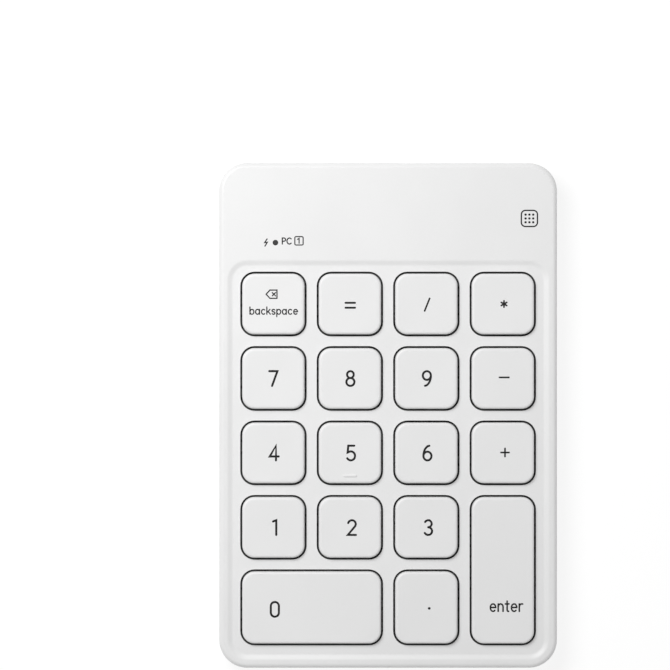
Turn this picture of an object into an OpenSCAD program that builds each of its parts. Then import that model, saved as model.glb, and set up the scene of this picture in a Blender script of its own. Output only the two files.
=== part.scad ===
// Wireless numeric keypad. Millimetres, +X right, +Y to the rear, +Z up.
// The origin is on the surface that the rubber feet stand on, under the middle of the case.

/* [Case] */
// Width of the case
body_w = 84; // [76:0.5:104]
// Length of the case, front to rear
body_l = 125.5; // [118:0.5:155]
// Height of the case top above the surface that it stands on
case_top = 10.2; // [9.6:0.1:13]
// Corner radius of the case, seen from above
body_r = 7; // [5:0.5:10]
// Wall of the top cover
wall = 1.7; // [1.4:0.1:2.2]
// Thickness of the top cover's deck
deck_t = 1.4; // [1.1:0.1:1.8]
// Rounding of the top cover's upper edge
top_round = 1.1; // [0.8:0.1:2]
// Rounding of the bottom cover's lower edge
bottom_round = 1; // [0.5:0.1:1.2]
// Thickness of the bottom cover's floor
floor_t = 1.2; // [1:0.1:1.4]
// Height of the parting line between the two covers
split_z = 2.6; // [2.3:0.1:2.7]
// Depth of the sunken key field
tray_depth = 0.4; // [0.3:0.1:1]
// Width of the rim between the key field and the case's side and front edges
tray_rim = 2.7; // [2.2:0.1:4]
// Distance from the case's rear edge to the key field
rear_strip = 24.5; // [22:0.5:30]

/* [Keys] */
// Key pitch across
pitch_x = 19; // [18.5:0.1:19.5]
// Key pitch front to rear
pitch_y = 18.5; // [18:0.1:19]
// Width of a single keycap
cap_w = 15.6; // [15:0.1:16]
// Length of a single keycap
cap_l = 15.2; // [14.8:0.1:15.6]
// Extra length of the front row's keycaps
front_row_extra = 2.8; // [0:0.1:3]
// Corner radius of a keycap
cap_r = 3.1; // [2.6:0.1:3.6]
// Height of the keycaps' tops above the key field
cap_proud = 1.6; // [1.5:0.1:2.6]
// Height of a keycap, top to skirt
cap_h = 3.2; // [3:0.1:3.4]
// Wall of a keycap's skirt
cap_wall = 1.1; // [0.9:0.1:1.2]
// Radius of the corners inside a key
cap_inner_r = 1.2; // [1:0.1:1.4]
// Thickness of a keycap's top
cap_top_t = 1.2; // [1:0.1:1.3]
// Rounding of a keycap's upper edge
cap_round = 0.5; // [0.3:0.1:0.7]
// Gap between a keycap and its opening
key_gap = 0.45; // [0.35:0.05:0.6]
// Travel of every key
key_travel = 1.5; // [1.3:0.1:1.8]
// Distance from the key field's rear step to the first row's openings
field_margin = 2.5; // [2:0.1:4]

/* [Key mechanism] */
// Thickness of the steel base plate
plate_t = 0.4; // [0.3:0.05:0.5]
// Thickness of the laminated membrane
membrane_t = 0.3; // [0.2:0.05:0.4]
// Half the run of a scissor link, pin to pin
link_run = 4.9; // [4.7:0.1:5]
// Thickness of a scissor link
link_t = 0.7; // [0.6:0.05:0.8]
// Radius of the scissor pins
pin_r = 0.4; // [0.35:0.05:0.4]
// Clearance around the scissor pins
pin_gap = 0.1; // [0.05:0.01:0.12]
// Outer radius of a rubber dome at its base
dome_r = 3.2; // [2.8:0.1:3.3]
// Diameter of the stabilizer wire
wire_d = 0.7; // [0.6:0.05:0.8]
// Length of a stabilizer's legs, pivot to bar
stab_leg = 8; // [7:0.1:8.2]

/* [Rear parts] */
// Distance of the charge socket from the case's centre line
socket_x = 24.4; // [22:0.1:27]
// Distance of the receiver slot from the case's centre line
slot_x = 23.5; // [22:0.1:26]
// Width of the receiver
receiver_w = 11.8; // [11:0.1:12.5]
// Length of the receiver's shell
receiver_l = 11.3; // [10:0.1:13]
// Thickness of the receiver
receiver_t = 5.6; // [5:0.1:5.6]
// Clearance between the receiver and its slot
slot_gap = 0.2; // [0.1:0.05:0.3]
// Thickness of the circuit board
board_t = 1; // [0.8:0.1:1.2]
// Radius of the indicator window
window_r = 0.65; // [0.5:0.05:1]
// Travel of the power switch's slider
switch_travel = 2; // [1.5:0.1:2.2]

/* [Battery and fasteners] */
// Width of the battery cell
cell_w = 28; // [20:0.5:32]
// Length of the battery cell
cell_l = 44; // [36:0.5:50]
// Thickness of the battery cell
cell_t = 2.4; // [2:0.1:2.5]
// Radius of the rubber feet
foot_r = 4; // [3:0.5:5]
// Height that the feet stand out of the bottom cover
foot_out = 0.8; // [0.5:0.1:1]
// Shank radius of the case screws
screw_r = 0.98; // [0.8:0.01:1]
// Distance of the corner screws from the case's side edges
screw_inset_x = 5; // [4.8:0.1:5.2]
// Distance of the corner screws from the case's front and rear edges
screw_inset_y = 4.2; // [4:0.1:4.4]

/* [Hidden] */
$fn = 48;
tiny = 0.01;

// heights, from the surface upwards
floor_z = foot_out;
inner_z = floor_z + floor_t;
tape_t = 0.15;
cell_z = inner_z + tape_t;
cell_gap = 0.05;
field_z = case_top - tray_depth;
strip_under = case_top - deck_t;
field_under = field_z - deck_t;
cap_z = field_z + cap_proud;
skirt_z = cap_z - cap_h;
cap_under = cap_z - cap_top_t;
// a pressed key keeps this height between its top's underside and the base plate
pressed_h = 3.7;
plate_z = max(cap_under - key_travel - pressed_h, cell_z + cell_t + cell_gap);
membrane_z = plate_z + plate_t;
stack_z = membrane_z + membrane_t;
low_pin_z = stack_z + pin_r + 0.2;
high_pin_z = cap_under - pin_r - 0.2;
hook_lip = 0.35;
hook_t = 0.6;
hook_slot = 0.4;

// key field
field_rear = body_l / 2 - rear_strip;
field_w = body_w - 2 * tray_rim;
field_l = field_rear + body_l / 2 - tray_rim;
field_r = body_r - tray_rim;
open_l = cap_l + 2 * key_gap;
row1_y = field_rear - field_margin - open_l / 2;

// one row per key: name, column centre, row centre, columns spanned, rows spanned
keys = [
    ["backspace", 0, 0, 1, 1], ["equals", 1, 0, 1, 1], ["slash", 2, 0, 1, 1], ["star", 3, 0, 1, 1],
    ["7", 0, 1, 1, 1], ["8", 1, 1, 1, 1], ["9", 2, 1, 1, 1], ["minus", 3, 1, 1, 1],
    ["4", 0, 2, 1, 1], ["5", 1, 2, 1, 1], ["6", 2, 2, 1, 1], ["plus", 3, 2, 1, 1],
    ["1", 0, 3, 1, 1], ["2", 1, 3, 1, 1], ["3", 2, 3, 1, 1], ["enter", 3, 3.5, 1, 2],
    ["0", 0.5, 4, 2, 1], ["point", 2, 4, 1, 1]
];
columns = 4;
last_row = 4;

// a key's front edge and rear edge, counted in rows, give its centre and length
function row_rear(row) = row1_y - row * pitch_y + cap_l / 2;
function row_front(row) = row1_y - row * pitch_y - cap_l / 2 - (row == last_row ? front_row_extra : 0);
function first_row(k) = k[2] - (k[4] - 1) / 2;
function final_row(k) = k[2] + (k[4] - 1) / 2;
function key_x(k) = (k[1] - (columns - 1) / 2) * pitch_x;
function key_y(k) = (row_rear(first_row(k)) + row_front(final_row(k))) / 2;
function key_w(k) = cap_w + (k[3] - 1) * pitch_x;
function key_l(k) = row_rear(first_row(k)) - row_front(final_row(k));
function find_key(name) = [for (k = keys) if (k[0] == name) k][0];

// crossings of the webs between the key openings that carry the two middle screws
row_web_y = row1_y - 1.5 * pitch_y;
front_web_y = (row_front(3) + row_rear(4)) / 2;
screw_places = [
    for (sx = [-1, 1], sy = [-1, 1])
        [sx * (body_w / 2 - screw_inset_x), sy * (body_l / 2 - screw_inset_y)],
    [-pitch_x, row_web_y], [pitch_x, row_web_y]
];
boss_r = screw_r + 1.02;
shoulder_r = boss_r + 0.6;
post_z = inner_z + 1.2;
head_r = screw_r + 0.72;
head_t = 1.2;
thread_gap = 0.02;
thread_bore_h = 5.5;
shank_l = 3.6;
plate_bore_r = boss_r + 0.1;
screw_gap = 0.15;
lip_gap = 0.1;
lip_t = 1;

// base plate
plate_gap = 0.6;
plate_w = body_w - 2 * (wall + plate_gap);
plate_front = -body_l / 2 + wall + plate_gap;
plate_rear = field_rear - 0.8;
plate_l = plate_rear - plate_front;
plate_y = (plate_rear + plate_front) / 2;
plate_r = 4;
membrane_inset = 0.5;

// scissors
outer_rail_y = 4.9;
inner_rail_y = 3.85;
rail_w = 0.7;
link_rise = high_pin_z - low_pin_z;
link_angle = atan2(link_rise, 2 * link_run);
link_len = sqrt(4 * link_run * link_run + link_rise * link_rise);
pivot_z = (low_pin_z + high_pin_z) / 2;
pin_slide = link_len - 2 * link_run + 0.05;
stud_r = 0.4;
stud_gap = 0.05;
stud_l = outer_rail_y - inner_rail_y + rail_w / 2;
outer_pin_y = outer_rail_y + rail_w / 2 + 0.75;
inner_pin_y = inner_rail_y + rail_w / 2 + 0.75;

// stabilizers
wire_r = wire_d / 2;
bar_z = cap_under - 1.6;
stab_z = bar_z - 1.4;
stab_run = sqrt(stab_leg * stab_leg - (bar_z - stab_z) * (bar_z - stab_z));
stab_hook_gap = 0.08;
stab_reach = 12.5;
stab_pin = 2;
ear_t = 0.6;
ear_l = 2.2;
ear_x = stab_reach - stab_pin + ear_t;

// rear parts
inner_rear = body_l / 2 - wall;
rear_hollow = rear_strip - wall - 1;
board_w = 48;
board_front = field_rear + 1;
board_rear = inner_rear - 0.6;
board_l = board_rear - board_front;
board_x = -14.5;
board_z = inner_z + 1.6;
board_top = board_z + board_t;
tail_w = 14;
tail_x = board_x + 2;
tail_y = board_front + 5;
socket_w = 8.94;
socket_h = 3.26;
socket_l = 7.35;
socket_wall = 0.3;
socket_z = board_top + socket_h / 2;
receiver_z = split_z + slot_gap + receiver_t / 2;
collar_w = 10.5;
collar_l = 2.7;
plug_w = 8.25;
plug_t = 2.4;
plug_l = 6.65;
receiver_set_back = 0.15;
receiver_rear = body_l / 2 - receiver_set_back;
bay_wall = 1.2;
bay_front = receiver_rear - receiver_l - collar_l - plug_l - 0.5;
bay_top = strip_under - 0.2;
scoop_w = 9;
scoop_l = 2.2;
switch_x = 0;
switch_w = 8.5;
switch_l = 3.5;
switch_h = 3.2;
knob_w = 3;
knob_h = 1.6;
switch_z = board_top + switch_h / 2;
window_x = -28;
window_y = board_front + 3.7;
flange_r = window_r + 0.95;
flange_gap = 0.1;
led_h = 0.7;
led_w = 1.6;

// battery
cell_y = row1_y - 1.5 * pitch_y + 1;
bay_gap = 1;
foot_x = body_w / 2 - 10;
foot_y = body_l / 2 - 10.5;
foot_in = 0.5;
lead_r = 0.4;
lead_x = -6;
lead_pitch = 1.6;

white = [0.93, 0.93, 0.93];
cap_white = [0.95, 0.95, 0.95];
steel = [0.7, 0.71, 0.73];

// ---- shared shapes ----

module rounded(w, l, r) {
    square([w - 2 * r, l], center = true);
    square([w, l - 2 * r], center = true);
    for (sx = [-1, 1], sy = [-1, 1])
        translate([sx * (w / 2 - r), sy * (l / 2 - r)])
            circle(r);
}

module plate(w, l, r, z0, z1) {
    translate([0, 0, z0])
        linear_extrude(z1 - z0)
            rounded(w, l, r);
}

// half section of a rounded slab's edge, from its corner axis outwards
module edge_section(r, h, upper, lower) {
    middle = (h + lower - upper) / 2;
    intersection() {
        square([r, h]);
        union() {
            translate([0, lower])
                square([r, h - upper - lower]);
            square([r - lower, middle]);
            translate([0, middle])
                square([r - upper, h - middle]);
            if (lower > 0)
                translate([r - lower, lower])
                    circle(lower);
            if (upper > 0)
                translate([r - upper, h - upper])
                    circle(upper);
        }
    }
}

// slab with rounded corners and a rounded upper or lower edge
module slab(w, l, r, z0, z1, upper = 0, lower = 0) {
    h = z1 - z0;
    translate([0, 0, z0]) {
        for (quarter = [0 : 3]) {
            sx = (quarter == 0 || quarter == 3) ? 1 : -1;
            sy = quarter < 2 ? 1 : -1;
            translate([sx * (w / 2 - r), sy * (l / 2 - r), 0])
                rotate(90 * quarter)
                    rotate_extrude(angle = 90)
                        edge_section(r, h, upper, lower);
        }
        for (side = [0, 180]) {
            rotate(side)
                translate([w / 2 - r, l / 2 - r, 0])
                    rotate([90, 0, 0])
                        linear_extrude(l - 2 * r)
                            edge_section(r, h, upper, lower);
            rotate(side)
                translate([-w / 2 + r, l / 2 - r, 0])
                    rotate([90, 0, 90])
                        linear_extrude(w - 2 * r)
                            edge_section(r, h, upper, lower);
        }
        translate([-w / 2 + r, -l / 2 + r, 0])
            cube([w - 2 * r, l - 2 * r, h]);
    }
}

// box given by its middle across and along, and its lower and upper heights
module block(w, l, z0, z1) {
    translate([-w / 2, -l / 2, z0])
        cube([w, l, z1 - z0]);
}

module at_key(k) {
    translate([key_x(k), key_y(k), 0])
        children();
}

module at_screws() {
    for (p = screw_places)
        translate([p[0], p[1], 0])
            children();
}

module at_feet() {
    for (sx = [-1, 1], sy = [-1, 1])
        translate([sx * foot_x, sy * foot_y, 0])
            children();
}

// ---- covers ----

module top_cover() {
    color(white)
        difference() {
            union() {
                difference() {
                    slab(body_w, body_l, body_r, split_z, case_top, upper = top_round);
                    inner_outline(wall, split_z - 1, field_under);
                    translate([0, body_l / 2 - wall - rear_hollow / 2, 0])
                        plate(body_w - 2 * wall, rear_hollow, body_r - wall, field_under - 1, strip_under);
                    translate([0, field_rear - field_l / 2, 0])
                        plate(field_w, field_l, field_r, field_z, case_top + 1);
                }
                at_screws() {
                    translate([0, 0, post_z])
                        cylinder(r = boss_r, h = field_under - post_z + tiny);
                    translate([0, 0, stack_z])
                        cylinder(r = shoulder_r, h = field_under - stack_z + tiny);
                }
                for (sx = [-1, 1])
                    translate([sx * (body_w / 2 - screw_inset_x), body_l / 2 - screw_inset_y, stack_z])
                        cylinder(r = shoulder_r, h = strip_under - stack_z + tiny);
                window_seat();
            }
            for (k = keys)
                at_key(k)
                    plate(key_w(k) + 2 * key_gap, key_l(k) + 2 * key_gap, cap_r + key_gap, 0, case_top + 1);
            at_screws()
                translate([0, 0, post_z - 1])
                    cylinder(r = screw_r + thread_gap, h = thread_bore_h);
            socket_mouth();
            slot_mouth();
            switch_mouth();
            translate([window_x, window_y, 0])
                cylinder(r = window_r + 0.05, h = case_top + 1);
        }
}

// ring under the deck that the indicator window's flange sits in
module window_seat() {
    translate([window_x, window_y, strip_under - 1])
        difference() {
            cylinder(r = flange_r + 1.05, h = 1 + tiny);
            translate([0, 0, -1])
                cylinder(r = flange_r + flange_gap, h = 2);
        }
}

// opening for the charge socket, with a rounded end each side
module socket_mouth() {
    gap = 0.15;
    translate([-socket_x, body_l / 2 + 1, socket_z])
        rotate([90, 0, 0])
            linear_extrude(wall + 2)
                rounded(socket_w + 2 * gap, socket_h + 2 * gap, (socket_h + 2 * gap) / 2 - tiny);
}

module slot_mouth() {
    translate([slot_x, body_l / 2, 0])
        block(receiver_w + 2 * slot_gap, 2 * wall + 2, split_z - 1, receiver_z + receiver_t / 2 + slot_gap);
}

// shallow pocket for the fingertip, and the slot that the knob stands in
module switch_mouth() {
    slot_h = knob_h + 0.4;
    translate([switch_x, body_l / 2, 0]) {
        block(knob_w + switch_travel + 4, 2, switch_z - 1.5, switch_z + 1.5);
        block(knob_w + switch_travel + 0.4, 2 * wall + 2, switch_z - slot_h / 2, switch_z + slot_h / 2);
    }
}

module bottom_cover() {
    color(white)
        difference() {
            union() {
                difference() {
                    slab(body_w, body_l, body_r, floor_z, split_z, lower = bottom_round);
                    inner_outline(wall + 0.4, inner_z, split_z + 1);
                }
                cover_lip();
                intersection() {
                    floor_supports();
                    inner_outline(wall + lip_gap, floor_z, strip_under);
                }
            }
            at_screws() {
                translate([0, 0, floor_z - 1])
                    cylinder(r = screw_r + screw_gap, h = post_z + 1);
                translate([0, 0, floor_z - 1])
                    cylinder(r = head_r + screw_gap, h = head_t + 1.1);
            }
            at_feet()
                translate([0, 0, floor_z - 1])
                    cylinder(r = foot_r + 0.05, h = 1 + foot_in);
            finger_scoop();
        }
}

// solid that follows the case's outline, set in from it by a distance
module inner_outline(inset, z0, z1) {
    plate(body_w - 2 * inset, body_l - 2 * inset, body_r - inset, z0, z1);
}

// lip that stands up inside the top cover's wall
module cover_lip() {
    lip_top = split_z + 1;
    difference() {
        inner_outline(wall + lip_gap, inner_z, lip_top);
        inner_outline(wall + lip_gap + lip_t, 0, lip_top + 1);
        at_screws()
            translate([0, 0, post_z])
                cylinder(r = shoulder_r + 0.2, h = lip_top);
        translate([-socket_x, body_l / 2, 0])
            block(socket_w + 2, 12, split_z, lip_top + 1);
        translate([slot_x, body_l / 2, 0])
            block(receiver_w + 2 * slot_gap, 12, split_z, lip_top + 1);
    }
}

// ribs and posts that the base plate, the board and the screws bear on
module floor_supports() {
    rib_t = 1.2;
    sink = 0.3;
    side_x = body_w / 2 - 13;
    board_post_r = 1.6;
    at_screws()
        translate([0, 0, inner_z - sink])
            cylinder(r = boss_r + 0.4, h = post_z - inner_z + sink);
    for (sx = [-1, 1])
        translate([sx * side_x, plate_y, 0])
            block(rib_t, plate_l - 24, inner_z - sink, plate_z);
    for (sy = [-1, 1])
        translate([0, cell_y + sy * (cell_l / 2 + bay_gap + rib_t / 2), 0])
            difference() {
                block(cell_w + 2 * bay_gap, rib_t, inner_z - sink, plate_z);
                if (sy > 0)
                    translate([lead_x, 0, 0])
                        block(2 * lead_pitch + 2, 3 * rib_t, cell_z, plate_z + 1);
            }
    translate([0, front_web_y - 4, 0])
        block(2 * side_x - 8, rib_t, inner_z - sink, plate_z);
    for (x = [board_x - board_w / 2 + 6, board_x, board_x + board_w / 2 - 3])
        for (y = [board_front + 3, board_rear - 9])
            translate([x, y, inner_z - sink])
                cylinder(r = board_post_r, h = board_z - inner_z + sink);
    receiver_bay(sink);
}

// three walls that guide the receiver and stop its plug
module receiver_bay(sink) {
    half = receiver_w / 2 + slot_gap;
    depth = inner_rear - 0.2 - bay_front;
    for (sx = [-1, 1])
        translate([slot_x + sx * (half + bay_wall / 2), bay_front + depth / 2, 0])
            block(bay_wall, depth, inner_z - sink, bay_top);
    translate([slot_x, bay_front - bay_wall / 2, 0])
        block(2 * (half + bay_wall), bay_wall, inner_z - sink, bay_top);
}

// notch under the rear edge that lets a fingernail reach the receiver
module finger_scoop() {
    translate([slot_x, body_l / 2, 0])
        block(scoop_w, 2 * scoop_l, floor_z - 1, split_z + 1);
}

// ---- keys ----

module key_cap(k) {
    dome_seat_h = 0.45;
    w = key_w(k);
    l = key_l(k);
    color(cap_white)
        at_key(k) {
            difference() {
                slab(w, l, cap_r, skirt_z, cap_z, upper = cap_round);
                plate(w - 2 * cap_wall, l - 2 * cap_wall, cap_inner_r, skirt_z - 1, cap_under);
            }
            translate([0, 0, cap_under - dome_seat_h])
                cylinder(r = 1.4, h = dome_seat_h + tiny);
            scissor_clips();
            if (k[3] > 1)
                stabilizer_clips(k);
            if (k[4] > 1)
                stabilizer_clips(k);
            if (k[0] == "5")
                homing_bar(l);
        }
}

// raised bar near the front edge, for finding the middle key by touch
module homing_bar(l) {
    bar_l = 3.4;
    bar_r = 0.3;
    translate([-bar_l / 2, -l / 2 + 1.95, cap_z - bar_r / 3])
        rotate([0, 90, 0])
            cylinder(r = bar_r, h = bar_l);
}

// four downward jaws that hold the upper pins of the two links
module scissor_clips() {
    jaw = pin_r + pin_gap;
    for (sy = [-1, 1]) {
        translate([link_run, sy * (outer_pin_y - 0.35), 0])
            clip_jaw(jaw, 0);
        translate([-link_run - pin_slide / 2, sy * (inner_pin_y - 0.35), 0])
            clip_jaw(jaw, pin_slide);
    }
}

module clip_jaw(jaw, slide) {
    cheek = 0.45;
    difference() {
        block(2 * (jaw + cheek) + slide, hook_t, high_pin_z - 0.6, cap_under + tiny);
        for (sx = [-1, 1])
            translate([sx * slide / 2, 2, high_pin_z])
                rotate([90, 0, 0])
                    cylinder(r = jaw, h = 4);
        block(slide + 2 * jaw, 4, high_pin_z - 1, high_pin_z);
        block(slide + tiny, 4, high_pin_z - 1, high_pin_z + jaw);
    }
}

// two long-slotted jaws that hold a stabilizer's bar and let it shift a little
module stabilizer_clips(k) {
    slack = 0.3;
    cheek = 0.3;
    along = k[3] > 1 ? 0 : 90;
    for (s = [-1, 1])
        rotate(-along)
            translate([s * (stab_reach - 2.4), stab_side(k), 0])
                difference() {
                    translate([0, (slack - cheek) / 4, 0])
                        block(1.2, 2 * wire_r + slack + cheek + 0.3, bar_z - 0.5, cap_under + tiny);
                    translate([0, slack / 4, 0])
                        block(3, 2 * wire_r + slack, bar_z - 1, bar_z + wire_r + 0.1);
                }
}

// how far a stabilizer's bar lies from the key's middle
function stab_side(k) = (k[3] > 1 ? key_l(k) : key_w(k)) / 2 - cap_wall - wire_r - 0.25;

// ---- scissor mechanism ----

// a flat frame in the link's own plane, centred on its pivot, with a pin across each end
module link_frame(rail_y, pin_y, bored) {
    inner = stud_r + stud_gap;
    difference() {
        union() {
            for (sy = [-1, 1]) {
                translate([0, sy * rail_y, 0])
                    block(link_len, rail_w, -link_t / 2, link_t / 2);
                translate([0, sy * rail_y + rail_w / 2, 0])
                    rotate([90, 0, 0])
                        cylinder(r = inner + 0.35, h = rail_w);
            }
            for (sx = [-1, 1])
                translate([sx * link_len / 2, pin_y, 0])
                    rotate([90, 0, 0])
                        cylinder(r = pin_r, h = 2 * pin_y);
        }
        if (bored)
            translate([0, 9, 0])
                rotate([90, 0, 0])
                    cylinder(r = inner, h = 18);
    }
}

module scissor(k) {
    color([0.85, 0.86, 0.88])
        at_key(k)
            translate([0, 0, pivot_z]) {
                rotate([0, -link_angle, 0])
                    link_frame(outer_rail_y, outer_pin_y, true);
                rotate([0, link_angle, 0]) {
                    link_frame(inner_rail_y, inner_pin_y, false);
                    for (sy = [-1, 1])
                        translate([0, sy * inner_rail_y + (sy + 1) / 2 * stud_l, 0])
                            rotate([90, 0, 0])
                                cylinder(r = stud_r, h = stud_l);
                }
            }
}

module rubber_domes() {
    lip = stack_z + 0.35;
    crown = cap_under - 0.5;
    color([0.9, 0.92, 0.94])
        for (k = keys)
            at_key(k)
                rotate_extrude()
                    polygon([
                        [dome_r, stack_z], [dome_r, lip], [dome_r - 0.4, lip + 0.15],
                        [1.6, crown - 0.9], [1.5, crown], [0, crown], [0, crown - 1.1],
                        [1.1, crown - 1.1], [dome_r - 0.9, lip], [dome_r - 0.8, stack_z]
                    ]);
}

// wire bent as a wide U: a bar under the cap, two legs, and a short pin in each plate hook
module stabilizer(k) {
    along = k[3] > 1 ? 0 : 90;
    tilt = asin((bar_z - stab_z) / stab_leg);
    color(steel)
        at_key(k)
            rotate(-along)
                translate([0, stab_side(k) - stab_run, stab_z])
                    rotate([tilt, 0, 0]) {
                        translate([-stab_reach, stab_leg, 0])
                            rotate([0, 90, 0])
                                cylinder(r = wire_r, h = 2 * stab_reach);
                        for (s = [-1, 1]) {
                            for (y = [0, stab_leg])
                                translate([s * stab_reach, y, 0])
                                    sphere(r = wire_r);
                            translate([s * stab_reach, 0, 0])
                                rotate([-90, 0, 0])
                                    cylinder(r = wire_r, h = stab_leg);
                            translate([s > 0 ? stab_reach - stab_pin : -stab_reach, 0, 0])
                                rotate([0, 90, 0])
                                    cylinder(r = wire_r, h = stab_pin);
                        }
                    }
}

// ---- base plate and membrane ----

module base_plate() {
    color(steel) {
        difference() {
            translate([0, plate_y, 0])
                plate(plate_w, plate_l, plate_r, plate_z, membrane_z);
            at_screws()
                translate([0, 0, plate_z - 1])
                    cylinder(r = plate_bore_r, h = 3);
        }
        for (k = keys)
            at_key(k) {
                plate_hooks();
                if (k[3] > 1 || k[4] > 1)
                    stabilizer_hooks(k);
            }
    }
}

// how far a hook's upright stands outside the middle of the pin that it holds
function hook_out(slide) = pin_r + pin_gap + slide + hook_lip / 2;

// runs its children at the feet of a key's four hooks: the outer link's pins slide, the inner's turn
module at_hooks() {
    for (sy = [-1, 1]) {
        translate([-link_run - hook_out(pin_slide), sy * (outer_pin_y - 0.35), 0])
            children(0);
        translate([link_run + hook_out(0), sy * (inner_pin_y - 0.35), 0])
            children(1);
    }
}

// four inverted hooks formed up out of the plate over the links' lower pins
module plate_hooks() {
    at_hooks() {
        plate_hook(pin_slide);
        mirror([1, 0, 0])
            plate_hook(0);
    }
}

// one hook on the left of its pin, with room for the pin to slide outwards
module plate_hook(slide) {
    lip_z = low_pin_z + pin_r + pin_gap;
    reach = hook_out(slide) + pin_r;
    block(hook_lip, hook_t, plate_z, lip_z + hook_lip);
    translate([reach / 2 - hook_lip / 2, 0, 0])
        block(reach, hook_t, lip_z, lip_z + hook_lip);
}

// two ears that the stabilizer's end pins turn in
module stabilizer_hooks(k) {
    along = k[3] > 1 ? 0 : 90;
    bore_r = wire_r + stab_hook_gap;
    for (s = [-1, 1])
        rotate(-along)
            translate([s * ear_x, stab_side(k) - stab_run, 0])
                difference() {
                    block(ear_t, ear_l, plate_z, stab_z + bore_r + 0.35);
                    translate([-2, 0, stab_z])
                        rotate([0, 90, 0])
                            cylinder(r = bore_r, h = 4);
                }
}

module membrane() {
    color([0.75, 0.8, 0.78])
        difference() {
            union() {
                translate([0, plate_y, 0])
                    plate(plate_w - 2 * membrane_inset, plate_l - 2 * membrane_inset,
                        plate_r - membrane_inset, membrane_z, stack_z);
                membrane_tail();
            }
            at_screws()
                translate([0, 0, plate_z - 1])
                    cylinder(r = plate_bore_r, h = 4);
            for (k = keys)
                at_key(k) {
                    at_hooks() {
                        block(hook_lip + hook_slot, hook_t + hook_slot, 0, stack_z + 1);
                        block(hook_lip + hook_slot, hook_t + hook_slot, 0, stack_z + 1);
                    }
                    if (k[3] > 1 || k[4] > 1)
                        for (s = [-1, 1])
                            rotate(k[3] > 1 ? 0 : -90)
                                translate([s * ear_x, stab_side(k) - stab_run, 0])
                                    block(ear_t + hook_slot, ear_l + hook_slot, 0, stack_z + 1);
                }
        }
}

// strip that steps down from the plate to the circuit board
module membrane_tail() {
    start = plate_rear - membrane_inset - 0.5;
    turn = board_front + 0.4;
    translate([tail_x - tail_w / 2, 0, 0])
        rotate([90, 0, 90])
            linear_extrude(tail_w)
                polygon([
                    [start, membrane_z], [plate_rear + 0.1, membrane_z],
                    [turn, board_top], [tail_y, board_top],
                    [tail_y, board_top + membrane_t], [turn + 0.1, board_top + membrane_t],
                    [plate_rear + 0.2, stack_z], [start, stack_z]
                ]);
}

module membrane_clamp() {
    color([0.2, 0.2, 0.22])
        translate([tail_x, tail_y - 1.7, 0]) {
            block(tail_w + 3, 2.6, board_top + membrane_t, board_top + membrane_t + 1.2);
            for (sx = [-1, 1])
                translate([sx * (tail_w / 2 + 1), 0, 0])
                    block(1, 2.6, board_top, board_top + membrane_t + tiny);
        }
}

// ---- electronics ----

module circuit_board() {
    color([0.1, 0.4, 0.25])
        difference() {
            translate([board_x, (board_front + board_rear) / 2, 0])
                plate(board_w, board_l, 1, board_z, board_top);
            translate([-body_w / 2 + screw_inset_x, body_l / 2 - screw_inset_y, 0])
                cylinder(r = shoulder_r + 0.5, h = 20);
        }
}

module controller_chip() {
    color([0.12, 0.12, 0.13])
        translate([board_x + 16, board_front + 8.5, 0])
            block(5, 5, board_top, board_top + 0.9);
}

// charging chip, crystal and a row of capacitors
module board_parts() {
    color([0.45, 0.42, 0.38]) {
        translate([-socket_x + 9, board_rear - 8, 0])
            block(3, 2.8, board_top, board_top + 1);
        translate([board_x + 16, board_front + 14, 0])
            block(3.2, 1.5, board_top, board_top + 0.8);
        for (i = [0 : 3])
            translate([board_x + 2 + 2.2 * i, board_rear - 5, 0])
                block(1, 0.5, board_top, board_top + 0.5);
    }
}

module charge_socket_shell() {
    l = socket_l;
    color(steel)
        translate([-socket_x, body_l / 2 - 0.3, socket_z])
            rotate([90, 0, 0])
                difference() {
                    linear_extrude(l)
                        rounded(socket_w, socket_h, socket_h / 2 - tiny);
                    translate([0, 0, -1])
                        linear_extrude(l + 1 - socket_wall)
                            rounded(socket_w - 2 * socket_wall, socket_h - 2 * socket_wall,
                                socket_h / 2 - socket_wall - tiny);
                }
}

module charge_socket_tongue() {
    tongue_l = socket_l - socket_wall - 1;
    color([0.15, 0.15, 0.16])
        translate([-socket_x, body_l / 2 - 0.3 - socket_l + socket_wall + tongue_l / 2, 0])
            block(6.7, tongue_l, socket_z - 0.35, socket_z + 0.35);
}

module power_switch_body() {
    front = board_rear - switch_l;
    color(steel)
        difference() {
            translate([switch_x, front + switch_l / 2, 0])
                block(switch_w, switch_l, board_top, board_top + switch_h);
            translate([switch_x, board_rear, 0])
                block(knob_w + switch_travel + 0.2, 2 * (switch_l - 0.6), switch_z - knob_h / 2 - 0.1,
                    switch_z + knob_h / 2 + 0.1);
        }
}

module power_switch_slider() {
    rear = body_l / 2 - 0.2;
    front = board_rear - switch_l + 0.8;
    color([0.15, 0.15, 0.16])
        translate([switch_x - switch_travel / 2, (rear + front) / 2, 0])
            block(knob_w, rear - front, switch_z - knob_h / 2, switch_z + knob_h / 2);
}

module status_led() {
    color([0.95, 0.95, 0.85])
        translate([window_x, window_y, 0])
            block(led_w, led_w, board_top, board_top + led_h);
}

// light pipe: a round head in the deck, with a flange under it
module indicator_window() {
    color([0.2, 0.2, 0.22])
        translate([window_x, window_y, 0]) {
            translate([0, 0, board_top + led_h + 0.2])
                cylinder(r = window_r, h = case_top - board_top - led_h - 0.2);
            translate([0, 0, strip_under - 0.8])
                cylinder(r = flange_r, h = 0.8);
        }
}

// ---- battery ----

module battery_cell() {
    color([0.75, 0.76, 0.78])
        translate([0, cell_y, 0])
            slab(cell_w, cell_l, 2, cell_z, cell_z + cell_t, upper = 0.6, lower = 0.6);
}

module battery_tape() {
    color([0.9, 0.85, 0.5])
        translate([0, cell_y, 0])
            block(cell_w - 8, cell_l - 10, inner_z, cell_z);
}

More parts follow.
